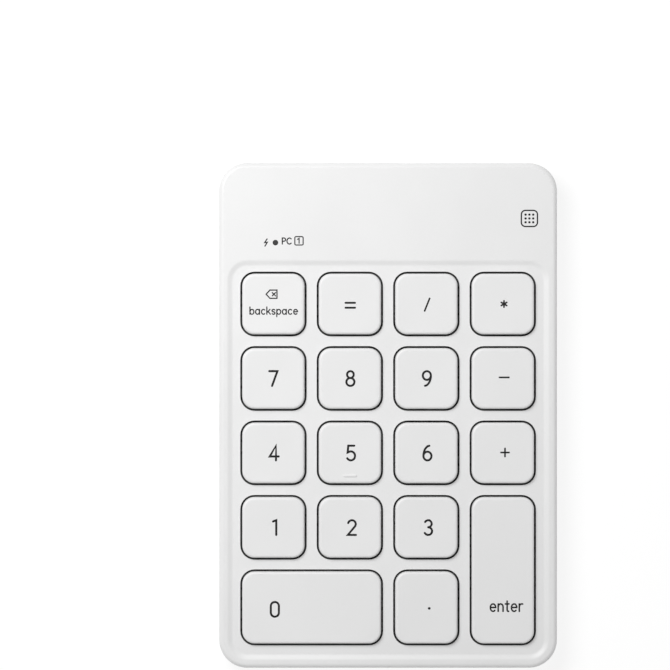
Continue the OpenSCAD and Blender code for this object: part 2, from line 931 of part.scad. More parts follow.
// two leads from the cell's rear edge to the underside of the board's front edge
module battery_leads() {
    lead_z = board_z - lead_r;
    start = cell_y + cell_l / 2;
    color([0.7, 0.1, 0.1])
        for (side = [-1, 1])
            translate([lead_x + side * lead_pitch / 2, start, lead_z])
                rotate([-90, 0, 0])
                    cylinder(r = lead_r, h = board_front + 2.5 - start);
}

// ---- receiver ----

module receiver_shell() {
    r = 2.2;
    color([0.88, 0.88, 0.89])
        translate([slot_x, receiver_rear, receiver_z])
            rotate([90, 0, 0]) {
                linear_extrude(receiver_l)
                    rounded(receiver_w, receiver_t, r);
                translate([0, 0, receiver_l - tiny])
                    linear_extrude(collar_l + tiny)
                        rounded(collar_w, receiver_t - 1, 1.8);
            }
}

module receiver_plug() {
    inset = receiver_rear - receiver_l - collar_l;
    plug_wall = 0.3;
    color(steel)
        translate([slot_x, inset, receiver_z])
            rotate([90, 0, 0])
                difference() {
                    linear_extrude(plug_l)
                        rounded(plug_w, plug_t, plug_t / 2 - tiny);
                    translate([0, 0, 0.8])
                        linear_extrude(plug_l)
                            rounded(plug_w - 2 * plug_wall, plug_t - 2 * plug_wall,
                                plug_t / 2 - plug_wall - tiny);
                }
}

// ---- fasteners and feet ----

module case_screws() {
    color(steel)
        at_screws()
            difference() {
                union() {
                    translate([0, 0, floor_z + 0.1])
                        cylinder(r = head_r, h = head_t - 0.1);
                    translate([0, 0, floor_z + 0.2])
                        cylinder(r = screw_r, h = head_t + shank_l);
                }
                for (turn = [0, 90])
                    rotate(turn)
                        block(1.8, 0.4, 0, floor_z + 0.6);
            }
}

module rubber_feet() {
    color([0.8, 0.8, 0.81])
        at_feet()
            cylinder(r = foot_r, h = foot_out + foot_in);
}

top_cover();
bottom_cover();
base_plate();
membrane();
rubber_domes();
membrane_clamp();
stabilizer(find_key("enter"));  // stabilizer_enter
stabilizer(find_key("0"));  // stabilizer_0
circuit_board();
controller_chip();
board_parts();
charge_socket_shell();
charge_socket_tongue();
power_switch_body();
power_switch_slider();
status_led();
indicator_window();
battery_cell();
battery_tape();
battery_leads();
receiver_shell();
receiver_plug();
case_screws();
rubber_feet();
for (k = keys) {
    key_cap(k);
    scissor(k);
}
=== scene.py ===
import math

import bmesh
import bpy
from mathutils import Matrix, Vector
from mathutils.geometry import delaunay_2d_cdt


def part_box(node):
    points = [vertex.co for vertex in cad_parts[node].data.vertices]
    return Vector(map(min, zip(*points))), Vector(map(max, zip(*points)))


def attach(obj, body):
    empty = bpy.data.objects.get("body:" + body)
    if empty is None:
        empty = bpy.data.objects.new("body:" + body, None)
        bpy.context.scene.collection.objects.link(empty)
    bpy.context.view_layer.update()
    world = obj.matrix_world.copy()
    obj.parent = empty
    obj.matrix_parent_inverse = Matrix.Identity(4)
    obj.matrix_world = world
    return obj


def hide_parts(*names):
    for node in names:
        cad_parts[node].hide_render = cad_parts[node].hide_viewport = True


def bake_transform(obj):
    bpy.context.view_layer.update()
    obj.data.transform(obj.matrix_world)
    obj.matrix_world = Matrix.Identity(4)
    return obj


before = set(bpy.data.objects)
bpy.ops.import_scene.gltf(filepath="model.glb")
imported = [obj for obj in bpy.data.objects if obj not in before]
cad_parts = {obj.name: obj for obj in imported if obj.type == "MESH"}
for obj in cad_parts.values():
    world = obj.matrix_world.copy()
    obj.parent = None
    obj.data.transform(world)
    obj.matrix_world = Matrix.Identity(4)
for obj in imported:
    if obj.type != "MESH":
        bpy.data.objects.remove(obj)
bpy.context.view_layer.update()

mm = 0.001
keyNames = [name[4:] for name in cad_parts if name.startswith("key_")]


# the lowest and highest corner of a node at rest, in millimetres
def boxOf(node):
    low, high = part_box(node)
    return [v / mm for v in low], [v / mm for v in high]


# shader maths

# a socket with Python's operators; sums on plain numbers are done before they get here
class Wire:
    def __init__(self, sheet, socket):
        self.sheet, self.socket = sheet, socket

    def _math(self, operation, a, b):
        return self.sheet.node("ShaderNodeMath", {"operation": operation}, {0: a, 1: b})["Value"]

    def __add__(self, other):
        return self._math("ADD", self, other)

    def __mul__(self, other):
        return self._math("MULTIPLY", self, other)

    def __radd__(self, other):
        return self._math("ADD", other, self)

    def __rmul__(self, other):
        return self._math("MULTIPLY", other, self)

    def smooth(self, low, high):
        settings = {"interpolation_type": "SMOOTHSTEP"}
        values = {"Value": self, "From Min": low, "From Max": high}
        return self.sheet.node("ShaderNodeMapRange", settings, values)["Result"]


# the outputs of one node, by name
class Outputs:
    def __init__(self, sheet, shaderNode):
        self.sheet, self.shaderNode = sheet, shaderNode

    def __getitem__(self, name):
        live = [s for s in self.shaderNode.outputs if s.enabled and s.name == name]
        return Wire(self.sheet, (live or [self.shaderNode.outputs[name]])[0])


# one material being drawn up
class Sheet:
    def __init__(self, name, **fixed):
        self.material = bpy.data.materials.new(name)
        self.material.use_nodes = True
        self.tree = self.material.node_tree
        self.shader = next(n for n in self.tree.nodes if n.type == "BSDF_PRINCIPLED")
        for socketName, value in fixed.items():
            self.shader.inputs[socketName.replace("_", " ")].default_value = value

    def node(self, kind, settings=None, values=None):
        made = self.tree.nodes.new(kind)
        for key, value in (settings or {}).items():
            setattr(made, key, value)
        for key, value in (values or {}).items():
            self._feed(self._input(made, key), value)
        return Outputs(self, made)

    def _input(self, made, key):
        if isinstance(key, int):
            return made.inputs[key]
        live = [s for s in made.inputs if s.enabled and s.name == key]
        return (live or [made.inputs[key]])[0]

    def _feed(self, socket, value):
        if isinstance(value, Wire):
            self.tree.links.new(value.socket, socket)
        else:
            socket.default_value = value

    def to(self, socketName, value):
        self._feed(self.shader.inputs[socketName], value)

    def place(self):
        return self.node("ShaderNodeTexCoord")["Object"]

    def noise(self, scale, detail=3.0, at=None):
        values = {"Vector": at or self.place(), "Scale": scale, "Detail": detail}
        return self.node("ShaderNodeTexNoise", {}, values)["Fac"]

    def cells(self, scale):
        values = {"Vector": self.place(), "Scale": scale}
        return self.node("ShaderNodeTexVoronoi", {}, values)["Distance"]

    def stretched(self, scale):
        values = {"Vector": self.place(), "Scale": scale}
        return self.node("ShaderNodeMapping", {}, values)["Vector"]

    def mix(self, factor, a, b):
        settings = {"data_type": "RGBA", "blend_type": "MIX"}
        mixed = self.node("ShaderNodeMix", settings, {"Factor": factor, "A": a, "B": b})
        return mixed["Result"]

    def bump(self, height, strength, distance):
        values = {"Height": height, "Strength": strength, "Distance": distance}
        self.to("Normal", self.node("ShaderNodeBump", {}, values)["Normal"])


def grey(value, tint=(0, 0, 0)):
    return (value + tint[0], value + tint[1], value + tint[2], 1.0)


# outlines and meshes, in millimetres

# a rounded rectangle: middle, half width, half length, corner radius
def rectOf(node, grow=0.0, radius=1.0):
    low, high = boxOf(node)
    middle = [(a + b) / 2 for a, b in zip(low, high)]
    halves = [(b - a) / 2 + grow for a, b in zip(low, high)]
    return middle[0], middle[1], halves[0], halves[1], radius + grow


def outline(rect, inset=0.0, arc=8, side=6):
    cx, cy, halfW, halfL, radius = rect
    halfW, halfL, radius = halfW - inset, halfL - inset, max(radius - inset, 0.03)
    arcs = []
    for start, (sx, sy) in zip((0, 90, 180, 270), ((1, 1), (-1, 1), (-1, -1), (1, -1))):
        mx, my = cx + sx * (halfW - radius), cy + sy * (halfL - radius)
        turns = [math.radians(start + 90 * k / arc) for k in range(arc + 1)]
        arcs.append([(mx + radius * math.cos(t), my + radius * math.sin(t)) for t in turns])
    points = []
    for index, corner in enumerate(arcs):
        points += corner
        (x0, y0), (x1, y1) = corner[-1], arcs[(index + 1) % 4][0]
        for k in range(1, side):
            points.append((x0 + (x1 - x0) * k / side, y0 + (y1 - y0) * k / side))
    return points


# how far a point lies outside a rounded rectangle; negative inside
def outside(rect, x, y):
    cx, cy, halfW, halfL, radius = rect
    qx, qy = abs(x - cx) - (halfW - radius), abs(y - cy) - (halfL - radius)
    return math.hypot(max(qx, 0), max(qy, 0)) + min(max(qx, qy), 0) - radius


def smoothStep(t):
    t = min(max(t, 0.0), 1.0)
    return t * t * (3 - 2 * t)


# points and faces being gathered for one piece
class Shell:
    def __init__(self):
        self.points, self.faces = [], []

    def loop(self, flat, height):
        first = len(self.points)
        for x, y in flat:
            self.points.append((x, y, height(x, y) if callable(height) else height))
        return list(range(first, len(self.points)))

    def bridge(self, lower, upper):
        for i in range(len(lower)):
            j = (i + 1) % len(lower)
            self.faces.append((lower[i], lower[j], upper[j], upper[i]))

    # a wall through a row of (inset, height) steps round one rounded rectangle
    def wall(self, rect, steps, **spacing):
        loops = [self.loop(outline(rect, inset, **spacing), height) for inset, height in steps]
        for lower, upper in zip(loops, loops[1:]):
            self.bridge(lower, upper)
        return loops[0], loops[-1]

    # triangles between edge loops, following height(x, y), where keep(x, y) is true
    def fill(self, loops, height, keep, lines=(), extra=()):
        known = [index for loop in loops for index in loop]
        flat = [Vector(self.points[index][:2]) for index in known]
        ties, first = [], 0
        for loop in loops:
            ties += [(first + i, first + (i + 1) % len(loop)) for i in range(len(loop))]
            first += len(loop)
        for line in lines:
            ties += [(first + i, first + (i + 1) % len(line)) for i in range(len(line))]
            flat += [Vector(p) for p in line]
            first += len(line)
        flat += [Vector(p) for p in extra]
        places, _, triangles, origins, _, _ = delaunay_2d_cdt(flat, ties, [], 0, 1e-7, True)
        number = {}
        for index, (place, origin) in enumerate(zip(places, origins)):
            old = [o for o in origin if o < len(known)]
            if old:
                number[index] = known[old[0]]
        for triangle in triangles:
            x = sum(places[i].x for i in triangle) / 3
            y = sum(places[i].y for i in triangle) / 3
            if not keep(x, y):
                continue
            for i in triangle:
                if i not in number:
                    number[i] = len(self.points)
                    px, py = places[i]
                    self.points.append((px, py, height(px, py) if callable(height) else height))
            self.faces.append(tuple(number[i] for i in triangle))

    # a lathe form about the vertical through (x, y), shut flat at its ends or run round a bore
    def lathe(self, x, y, profile, turns=32, bored=False):
        loops = []
        for radius, z in profile:
            angles = [2 * math.pi * k / turns for k in range(turns)]
            ring = [(x + radius * math.cos(t), y + radius * math.sin(t)) for t in angles]
            loops.append(self.loop(ring, z))
        for lower, upper in zip(loops, loops[1:]):
            self.bridge(lower, upper)
        if bored:
            self.bridge(loops[-1], loops[0])
        else:
            self.faces += [tuple(reversed(loops[0])), tuple(loops[-1])]

    # a box with its edges taken off
    def block(self, low, high, soft=0.06):
        rect = ((low[0] + high[0]) / 2, (low[1] + high[1]) / 2, (high[0] - low[0]) / 2,
            (high[1] - low[1]) / 2, 2 * soft)
        steps = [(soft, low[2]), (0, low[2] + soft), (0, high[2] - soft), (soft, high[2])]
        bottom, top = self.wall(rect, steps, arc=3, side=1)
        self.faces += [tuple(reversed(bottom)), tuple(top)]

    # a closed slab through (inset, height) steps, shut flat at both ends
    def slab(self, rect, steps, **spacing):
        bottom, top = self.wall(rect, steps, **spacing)
        self.faces += [tuple(reversed(bottom)), tuple(top)]

    def join(self, other, move=None):
        first = len(self.points)
        self.points += [tuple(move @ Vector(p)) if move else p for p in other.points]
        self.faces += [tuple(first + i for i in face) for face in other.faces]

    # faces that are left open are only ever hidden ones
    def piece(self, name, material, turn=None, sharp=35.0):
        mesh = bpy.data.meshes.new(name)
        scale = Matrix.Scale(mm, 4) @ (turn or Matrix.Identity(4))
        mesh.from_pydata([scale @ Vector(p) for p in self.points], [], self.faces)
        build = bmesh.new()
        build.from_mesh(mesh)
        bmesh.ops.remove_doubles(build, verts=build.verts, dist=1e-8)
        bmesh.ops.recalc_face_normals(build, faces=build.faces)
        build.to_mesh(mesh)
        build.free()
        mesh.polygons.foreach_set("use_smooth", [True] * len(mesh.polygons))
        mesh.set_sharp_from_angle(angle=math.radians(sharp))
        mesh.materials.append(material)
        made = bpy.data.objects.new(name, mesh)
        bpy.context.scene.collection.objects.link(made)
        return made


# normals that lean on the larger faces, so that flats stay flat beside small roundings
def settleNormals(made):
    weigh = made.modifiers.new("weighted", "WEIGHTED_NORMAL")
    weigh.keep_sharp, weigh.weight = True, 60
    return made


# (inset, height) steps of a rounding that ends flat at a height
def quarterRound(radius, edge, start=0.0, steps=6):
    turns = [math.pi / 2 * k / steps for k in range(steps + 1)]
    return [(start + radius * (1 - math.cos(t)), edge - radius * (1 - math.sin(t))) for t in turns]


# finishes

# moulded plastic: a fine spark-eroded grain, a slow change of tone and a few dull patches
def mouldedPlastic(name, tone, dull, rough=0.42, grain=7000, relief=0.12):
    sheet = Sheet(name, Specular_IOR_Level=0.5, IOR=1.5)
    drift = sheet.noise(60, 3)
    speck = sheet.noise(2600, 2)
    colour = sheet.mix((drift * 0.7 + speck * 0.3).smooth(0.3, 0.75), tone, dull)
    sheet.to("Base Color", colour)
    fine = sheet.noise(grain, 2)
    sheet.to("Roughness", rough - 0.05 + sheet.noise(220, 4) * 0.08 + fine * 0.04)
    sheet.bump(fine * 0.6 + sheet.cells(grain * 0.7) * 0.4, relief, 0.00002)
    return sheet.material


# sheet or drawn metal: fine lines along one way, smears of tarnish
def workedMetal(name, tone, dull, rough=0.3, along=(400, 9000, 9000)):
    sheet = Sheet(name, Metallic=1.0)
    lines = sheet.noise(1.0, 3, at=sheet.stretched(along))
    smear = sheet.noise(180, 4)
    sheet.to("Base Color", sheet.mix((lines * 0.5 + smear * 0.5).smooth(0.3, 0.7), tone, dull))
    sheet.to("Roughness", rough + lines * 0.14 + smear.smooth(0.45, 0.8) * 0.12)
    sheet.bump(lines, 0.15, 0.00001)
    return sheet.material


# soft rubber or silicone: a matt skin with pits and a slow mottle
def softRubber(name, tone, dull, rough=0.7, relief=0.3):
    sheet = Sheet(name, Specular_IOR_Level=0.4)
    pits = sheet.cells(3500)
    sheet.to("Base Color", sheet.mix(sheet.noise(300, 4).smooth(0.35, 0.7), tone, dull))
    sheet.to("Roughness", rough + pits.smooth(0.2, 0.6) * 0.12)
    sheet.bump(pits * 0.5 + sheet.noise(5000, 2) * 0.5, relief, 0.00002)
    return sheet.material


# clear film with printed traces under it; its grey tone is darkened past the film's own as painted shade, so
# that the gaps round the keys read dark
def circuitFilmGapShade():
    sheet = Sheet("membraneFilmGapShade", Specular_IOR_Level=0.6)
    place = sheet.node("ShaderNodeSeparateXYZ", {}, {"Vector": sheet.place()})
    wave = sheet.noise(90, 1) * 0.004
    run = (place["Y"] + wave) * 2400
    stripe = sheet.node("ShaderNodeMath", {"operation": "SINE"}, {0: run})["Value"]
    trace = stripe.smooth(0.55, 0.8) * sheet.noise(70, 0).smooth(0.42, 0.5)
    # painted shade: the film's base tone is kept dark so the gaps round the keys look deep
    film = sheet.mix(sheet.noise(400, 3), grey(0.26, (0, 0.01, 0)), grey(0.2, (0, 0.01, 0.01)))
    sheet.to("Base Color", sheet.mix(trace, film, grey(0.09)))
    sheet.to("Roughness", 0.32 + trace * 0.25)
    sheet.bump(trace, 0.3, 0.00004)
    return sheet.material


# glass cloth laminate under green lacquer, with buried copper
def boardLacquer():
    sheet = Sheet("boardLacquer", Coat_Roughness=0.15)
    weave = sheet.noise(1.0, 1, at=sheet.stretched((3200, 900, 900)))
    copper = sheet.cells(260).smooth(0.22, 0.26)
    tone = sheet.mix(copper, (0.02, 0.16, 0.06, 1), (0.012, 0.085, 0.035, 1))
    sheet.to("Base Color", sheet.mix(weave * 0.3, tone, (0.03, 0.2, 0.09, 1)))
    sheet.to("Coat Weight", 0.4 + weave * 0.2)
    sheet.to("Roughness", 0.3 + copper * 0.1)
    sheet.bump(copper * 0.6 + weave * 0.4, 0.2, 0.00004)
    return sheet.material


def darkPlastic(name, tone=0.02, rough=0.45):
    return mouldedPlastic(name, grey(tone), grey(tone * 1.7), rough, grain=5000, relief=0.2)


# the soft pouch of the cell, crinkled foil under a matt coat
def pouchFoil():
    sheet = Sheet("pouchFoil", Metallic=0.85)
    crease = sheet.cells(420)
    sheet.to("Base Color", sheet.mix(sheet.noise(150, 4), grey(0.62), grey(0.5)))
    sheet.to("Roughness", 0.32 + sheet.noise(500, 3) * 0.2)
    sheet.bump(crease * 0.5 + sheet.noise(350, 4) * 0.5, 0.35, 0.0002)
    return sheet.material


# printing ink with the small unevenness of a pad print
def keyInk(name, tone):
    sheet = Sheet(name, Specular_IOR_Level=0.2)
    sheet.to("Base Color", sheet.mix(sheet.noise(900, 3).smooth(0.35, 0.75), tone, grey(tone[0] * 1.5)))
    sheet.to("Roughness", 0.5 + sheet.noise(3000, 2) * 0.12)
    sheet.bump(sheet.noise(9000, 2), 0.1, 0.00001)
    return sheet.material


def smokedLens():
    sheet = Sheet("smokedLens", Specular_IOR_Level=0.6, IOR=1.49)
    sheet.to("Base Color", sheet.mix(sheet.noise(900, 2), grey(0.012), grey(0.025)))
    sheet.to("Roughness", 0.18 + sheet.noise(2500, 3) * 0.1)
    sheet.bump(sheet.noise(2500, 2), 0.08, 0.00002)
    return sheet.material


caseWhite = mouldedPlastic("caseWhite", grey(0.80), grey(0.775), rough=0.4)
underWhite = mouldedPlastic("underWhite", grey(0.79), grey(0.76), rough=0.5, relief=0.3)
capWhite = mouldedPlastic("capWhite", grey(0.80), grey(0.782), rough=0.36, relief=0.07)
linkPlastic = mouldedPlastic("linkPlastic", grey(0.72, (0, 0.01, 0.02)), grey(0.66), rough=0.34)
stickWhite = mouldedPlastic("stickWhite", grey(0.79), grey(0.76), rough=0.38)
plateSteel = workedMetal("plateSteel", grey(0.6), grey(0.45))
springWire = workedMetal("springWire", grey(0.68), grey(0.5), 0.22, (6000, 900, 6000))
platedSteel = workedMetal("platedSteel", grey(0.74), grey(0.6), 0.18)
screwSteel = workedMetal("screwSteel", grey(0.3), grey(0.2), 0.3, (5000, 5000, 900))
domeRubber = softRubber("domeRubber", grey(0.72, (0, 0.01, 0.01)), grey(0.62, (0, 0.01, 0.02)), 0.45, 0.15)
footRubber = softRubber("footRubber", grey(0.47), grey(0.445), 0.75)
# the membrane film's dark tone is painted shade for the gaps round the keys
filmWithGapShade, lacquer, foil, lens = circuitFilmGapShade(), boardLacquer(), pouchFoil(), smokedLens()
chipBlack, clampBlack = darkPlastic("chipBlack", 0.018), darkPlastic("clampBlack", 0.03, 0.5)
tongueBlack, switchBlack = darkPlastic("tongueBlack", 0.02, 0.4), darkPlastic("switchBlack", 0.03)
smallParts = mouldedPlastic("smallParts", (0.32, 0.24, 0.17, 1), (0.2, 0.15, 0.1, 1), 0.4)
lampBody = mouldedPlastic("lampBody", (0.8, 0.78, 0.6, 1), (0.7, 0.66, 0.45, 1), 0.25)
amberTape = softRubber("amberTape", (0.55, 0.3, 0.05, 1), (0.42, 0.2, 0.03, 1), 0.3, 0.1)
leadRed = softRubber("leadRed", (0.45, 0.03, 0.02, 1), (0.33, 0.02, 0.015, 1), 0.4, 0.1)
ink = keyInk("legendInk", grey(0.01))
deckInk = keyInk("deckInk", grey(0.01))
print("finishes ready")

# the covers
coverShape = {
    "corner": 7.0,  # corner radius of the case, seen from above
    "wall": 1.7,
    "topRound": 1.1,  # rounding of the upper outer edge
    "seamRound": 0.12,
    "keyGap": 0.45,  # gap round each key
    "keyCorner": 3.1,
    "holeRound": 0.1,
    "trayCorner": 4.3,
    "trayRim": 2.7,
    "trayDepth": 0.4,
    "trayRear": 37.9,
    "trayEase": 0.8,  # half the width of the soft step down to the keys
    "deck": 1.4,
    "topEdge": 1.25,  # where the flat deck starts, in from the outer edge
    "windowBore": 0.7,  # radius of the hole for the indicator window
}
rearShape = {
    "depth": 3.2,  # how far the openings are cut in from the rear
    "socketGap": 0.15,
    "stickGap": 0.2,
    "stickCorner": 1.6,
    "thumbHalf": (4.5, 1.5),  # shallow dip for the fingertip round the switch
    "knobHalf": (2.7, 1.0),
}
seam, caseTop = boxOf("top_cover")[0][2], boxOf("top_cover")[1][2]
caseRect = rectOf("top_cover", radius=coverShape["corner"])
windowBore = coverShape["windowBore"]
windowMiddle = [(a + b) / 2 for a, b in zip(*boxOf("indicator_window"))]
keyHoles = {}
for key in keyNames:
    corner = coverShape["keyCorner"]
    keyHoles[key] = rectOf("key_" + key, coverShape["keyGap"], corner)


def trayRect():
    rim, rear = coverShape["trayRim"], coverShape["trayRear"]
    front = caseRect[1] - caseRect[3] + rim
    return (caseRect[0], (rear + front) / 2, caseRect[2] - rim, (rear - front) / 2,
        coverShape["trayCorner"])


def deckHeight(x, y):
    ease = coverShape["trayEase"]
    depth = smoothStep((ease - outside(trayRect(), x, y)) / (2 * ease))
    return caseTop - coverShape["trayDepth"] * depth


def ceilingHeight(x, y):
    rear = smoothStep((y - coverShape["trayRear"] - 0.4) / 2.2)
    return caseTop - coverShape["deck"] - coverShape["trayDepth"] * (1 - rear)


def circleAt(x, y, radius, count=24):
    turns = [2 * math.pi * k / count for k in range(count)]
    return [(x + radius * math.cos(t), y + radius * math.sin(t)) for t in turns]


# a solid across the rear wall: an outline seen from behind, wider towards the outside
def rearCutter(name, middle, halves, corner, steps):
    cutter = Shell()
    cutter.slab((middle[0], middle[1], halves[0], halves[1], corner), steps, arc=6, side=2)
    cutter.points = [(x, z, y) for x, y, z in cutter.points]
    return cutter.piece(name, caseWhite)


def cutAway(made, cutters):
    for cutter in cutters:
        cut = made.modifiers.new("cut", "BOOLEAN")
        cut.operation, cut.solver, cut.object = "DIFFERENCE", "EXACT", cutter
    bpy.context.view_layer.update()
    shaped = made.evaluated_get(bpy.context.evaluated_depsgraph_get())
    made.modifiers.clear()
    mesh = bpy.data.meshes.new_from_object(shaped)
    made.data = mesh
    for cutter in cutters:
        bpy.data.objects.remove(cutter)
    mesh.polygons.foreach_set("use_smooth", [True] * len(mesh.polygons))
    mesh.set_sharp_from_angle(angle=math.radians(32))


def makeTopCover():
    shell, ease = Shell(), coverShape["trayEase"]
    wall, lip, spacing = coverShape["wall"], coverShape["seamRound"], {"arc": 14, "side": 20}
    skin = [(lip, seam), (0.03, seam + 0.05), (0, seam + lip), (0, seam + 1.5)]
    skin += [(0, caseTop - coverShape["topRound"] - 0.6)]
    skin += quarterRound(coverShape["topRound"], caseTop, steps=9) + [(coverShape["topEdge"], caseTop)]
    bottom, rim = shell.wall(caseRect, skin, **spacing)
    inner, ceiling = shell.wall(caseRect, [(wall, seam), (wall, seam + 3.0)], **spacing)
    shell.bridge(bottom, inner)
    roof = shell.loop(outline(caseRect, wall, **spacing), ceilingHeight)
    shell.bridge(ceiling, roof)
    upper, lower, soft = [rim], [roof], coverShape["holeRound"]
    for hole in keyHoles.values():
        rings = []
        for inset, drop in [(-1.6 * soft, 0)] + quarterRound(soft, 0, -soft)[::-1] + [(0, -0.7)]:
            flat = outline(hole, inset, arc=7, side=8)
            rings.append(shell.loop(flat, lambda x, y, drop=drop: deckHeight(x, y) + drop))
        rings.append(shell.loop(outline(hole, 0, arc=7, side=8), ceilingHeight))
        for outer, nearer in zip(rings, rings[1:]):
            shell.bridge(outer, nearer)
        upper.append(rings[0])
        lower.append(rings[-1])
    bore = circleAt(windowMiddle[0], windowMiddle[1], windowBore)
    rings = [shell.loop(bore, deckHeight), shell.loop(bore, ceilingHeight)]
    shell.bridge(rings[0], rings[1])
    upper.append(rings[0])
    lower.append(rings[1])

    def solidAt(edge, grow):
        def test(x, y):
            inCase = outside(caseRect, x, y) < -edge
            clear = all(outside(hole, x, y) > grow for hole in keyHoles.values())
            return inCase and clear and math.dist((x, y), windowMiddle[:2]) > windowBore * 0.98
        return test

    steps = [outline(trayRect(), -ease + 2 * ease * k / 10, arc=12, side=24) for k in range(11)]
    shell.fill(upper, deckHeight, solidAt(coverShape["topEdge"], 1.6 * soft), lines=steps)
    ribLine = coverShape["trayRear"]
    cross = [(x * 4.0, ribLine + y * 0.55) for x in range(-9, 10) for y in range(6)]
    shell.fill(lower, ceilingHeight, solidAt(wall, 0), extra=cross)
    cover = shell.piece("topCover", caseWhite)
    socketLow, socketHigh = boxOf("charge_socket_shell")
    stickLow, stickHigh = boxOf("receiver_shell")
    knobLow, knobHigh = boxOf("power_switch_slider")
    rear = caseRect[1] + caseRect[3]
    flare = [(-0.35, rear + 0.1), (-0.22, rear - 0.05), (-0.06, rear - 0.2), (0, rear - 0.4)]
    gap = rearShape["socketGap"]
    socketHalf = ((socketHigh[0] - socketLow[0]) / 2 + gap, (socketHigh[2] - socketLow[2]) / 2 + gap)
    socket = ((socketLow[0] + socketHigh[0]) / 2, (socketLow[2] + socketHigh[2]) / 2)
    gap = rearShape["stickGap"]
    stick = ((stickLow[0] + stickHigh[0]) / 2, (seam - 3 + stickHigh[2] + gap) / 2)
    stickHalf = ((stickHigh[0] - stickLow[0]) / 2 + gap, (stickHigh[2] + gap - seam + 3) / 2)
    knobZ = (knobLow[2] + knobHigh[2]) / 2
    deep = [(0, rear - rearShape["depth"])]
    dip = [(-0.3, rear + 0.1), (-0.15, rear - 0.05), (0, rear - 0.25), (0.05, rear - 0.85)]
    cutters = [
        rearCutter("socketCut", socket, socketHalf, socketHalf[1] - 0.01, flare + deep),
        rearCutter("stickCut", stick, stickHalf, rearShape["stickCorner"], flare + deep),
        rearCutter("thumbCut", (0, knobZ), rearShape["thumbHalf"], 1.0, dip + [(0.2, rear - 1)]),
        rearCutter("knobCut", (0, knobZ), rearShape["knobHalf"], 0.3, [(0, rear + 0.1)] + deep),
    ]
    cutAway(cover, cutters)
    return settleNormals(cover)


bossShape = {"bore": 1.02, "outer": 2.0, "shoulder": 2.6, "foot": 3.2}
seatShape = {"bore": 1.72, "outer": 2.65, "foot": 7.85, "top": 8.85}


# screw bosses under the deck, and the seat round the indicator window
def makeBosses():
    shell = Shell()
    low = boxOf("base_plate")[0][2]
    bore, outer, shoulder, foot = bossShape.values()
    for x, y in screwPlaces():
        top = ceilingHeight(x, y) + 0.05
        profile = [(bore, top), (bore, foot + 0.05), (bore + 0.08, foot), (outer - 0.1, foot)]
        profile += [(outer, foot + 0.1), (outer, low + 0.7), (shoulder, low + 0.75), (shoulder, top)]
        shell.lathe(x, y, profile, 28, bored=True)
    bore, outer, foot, top = seatShape.values()
    ring = [(bore, foot), (outer - 0.05, foot), (outer, foot + 0.05), (outer, top), (bore, top)]
    shell.lathe(windowMiddle[0], windowMiddle[1], ring, 28, bored=True)
    return shell.piece("coverBosses", underWhite)


def screwPlaces():
    mesh = bpy.data.objects["case_screws"].data
    build = bmesh.new()
    build.from_mesh(mesh)
    bmesh.ops.remove_doubles(build, verts=build.verts, dist=1e-7)
    places, seen = [], set()
    for vert in build.verts:
        if vert in seen:
            continue
        island, edge = [], [vert]
        seen.add(vert)
        while edge:
            one = edge.pop()
            island.append(one.co / mm)
            for other in (e.other_vert(one) for e in one.link_edges):
                if other not in seen:
                    seen.add(other)
                    edge.append(other)
        xs, ys = [p.x for p in island], [p.y for p in island]
        places.append(((min(xs) + max(xs)) / 2, (min(ys) + max(ys)) / 2))
    build.free()
    return places


topCover = makeTopCover()
bosses = makeBosses()
for made in (topCover, bosses):
    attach(made, "case")
    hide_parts("top_cover")
print("covers ready")

# the keys
capShape = {
    "corner": 3.1,
    "draft": 0.1,  # how much narrower a cap is at its top
    "edgeRound": 0.55,
    "dish": 0.1,  # depth of the hollow in the top
    "wall": 1.1,
    "innerCorner": 1.2,
    "roof": 1.2,
    "rings": (0.4, 0.95, 1.75, 2.75, 3.95, 5.25),  # loops across the top, in from its rounding
    "gridCells": 12,  # across the middle of the top, inside the last ring
}
# jaws under a cap that hold the links' upper pins: side, distance from the middle, room to slide
clipShape = {"run": 4.9, "rows": ((1, 5.65, 0.0), (-1, 4.6, 0.59)), "cheek": 0.675, "foot": 9.05}
homingBar = {"inset": 1.95, "halfWidth": 1.7, "halfLength": 0.3, "corner": 0.29, "proud": 0.18}
capTop = boxOf("key_0")[1][2]
skirt = boxOf("key_0")[0][2]
capUnder = capTop - capShape["roof"]


def capRect(key):
    return rectOf("key_" + key, radius=capShape["corner"])


def dishAt(key):
    cx, cy, halfW, halfL, _ = capRect(key)
    edge = capShape["draft"] + capShape["edgeRound"]

    def height(x, y):
        u, v = (x - cx) / (halfW - edge), (y - cy) / (halfL - edge)
        return capTop - capShape["dish"] * max(1 - u * u, 0) * max(1 - v * v, 0)
    return height


